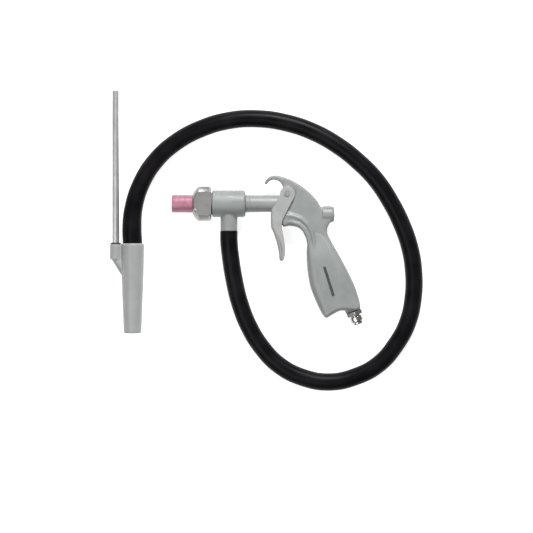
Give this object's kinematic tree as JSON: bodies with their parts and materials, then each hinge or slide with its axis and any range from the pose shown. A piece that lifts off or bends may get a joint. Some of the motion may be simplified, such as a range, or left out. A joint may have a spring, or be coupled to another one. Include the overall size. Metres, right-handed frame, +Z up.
{
  "type": "suction-feed sandblasting gun",
  "caption": "Air-powered sandblasting gun with a lever trigger, ceramic nozzle, mixing tee, feed hose and pick-up lance.",
  "frame": {"origin": "middle of the gun's base, in plan, on the surface that the gun lies on; the hose and lance don't count", "axes": "+X from the nozzle back towards the grip along the barrel, +Y from the grip up to the hook, +Z up from the surface, square to the gun's side"},
  "size_m": [0.3513, 0.3362, 0.03],
  "materials": {
    "cast_body": "satin grey lacquer on die-cast aluminium",
    "cast_tee": "satin grey lacquer on die-cast aluminium",
    "barrel_aluminium": "turned, matt anodised",
    "trigger_metal": "light grey lacquer",
    "nickel": "bright nickel plate",
    "steel": "ground steel",
    "brass": "turned brass",
    "seal_rubber": "matt nitrile rubber",
    "mark_ink": "plain dark bar",
    "pink_ceramic": "fired pink alumina, slightly polished",
    "hose_rubber": "smooth glossy black rubber",
    "lance_metal": "matt cast and turned aluminium",
    "tube_metal": "drawn tube"
  },
  "bodies": {
    "gun": {"gun_body": "cast_body", "inlet_plug": "nickel", "inlet_washer": "seal_rubber", "trigger_pin": "steel", "pin_clip_top": "steel", "pin_clip_bottom": "steel", "valve_gland": "brass", "gland_ring": "seal_rubber", "valve_cap": "nickel", "cap_ring": "seal_rubber", "valve_spring": "steel", "barrel_tube": "barrel_aluminium", "barrel_ring": "seal_rubber", "air_jet": "brass", "tee_body": "cast_tee", "hose_barb": "nickel", "grip_mark": "mark_ink", "hose": "hose_rubber", "lance_body": "lance_metal", "lance_air_tube": "tube_metal", "air_tube_grommet": "seal_rubber"},
    "trigger": {"trigger": "trigger_metal", "push_button": "steel"},
    "valve": {"valve_stem": "steel", "valve_seal": "seal_rubber"},
    "nozzle": {"ceramic_nozzle": "pink_ceramic", "nozzle_ring": "seal_rubber"},
    "nut": {"nozzle_nut": "nickel"}
  },
  "joints": [
    {"name": "trigger_pivot", "type": "hinge", "parent": "gun", "child": "trigger", "pos_m": [0.021, 0.0645, 0.015], "axis": [0, 0, 1], "range_deg": [0, 11], "stiffness_Nm_per_rad": 1.2, "springref_deg": -22.92},
    {"name": "valve_slide", "type": "slide", "parent": "gun", "child": "valve", "axis": [1, 0, 0], "range_m": [0, 0.0052], "deforming": ["valve_spring"]},
    {"name": "nozzle_slide", "type": "slide", "parent": "gun", "child": "nozzle", "axis": [-1, 0, 0], "range_m": [0, 0.009]},
    {"name": "nut_turn", "type": "hinge", "parent": "nozzle", "child": "nut", "pos_m": [-0.075, 0.053, 0.015], "axis": [-1, 0, 0], "range_deg": [0, 2180]}
  ],
  "couplings": [
    {"joint": "valve_slide", "follows": "trigger_pivot", "m_per_rad": 0.0265},
    {"joint": "nut_turn", "follows": "nozzle_slide", "rad_per_m": 4188.8}
  ]
}
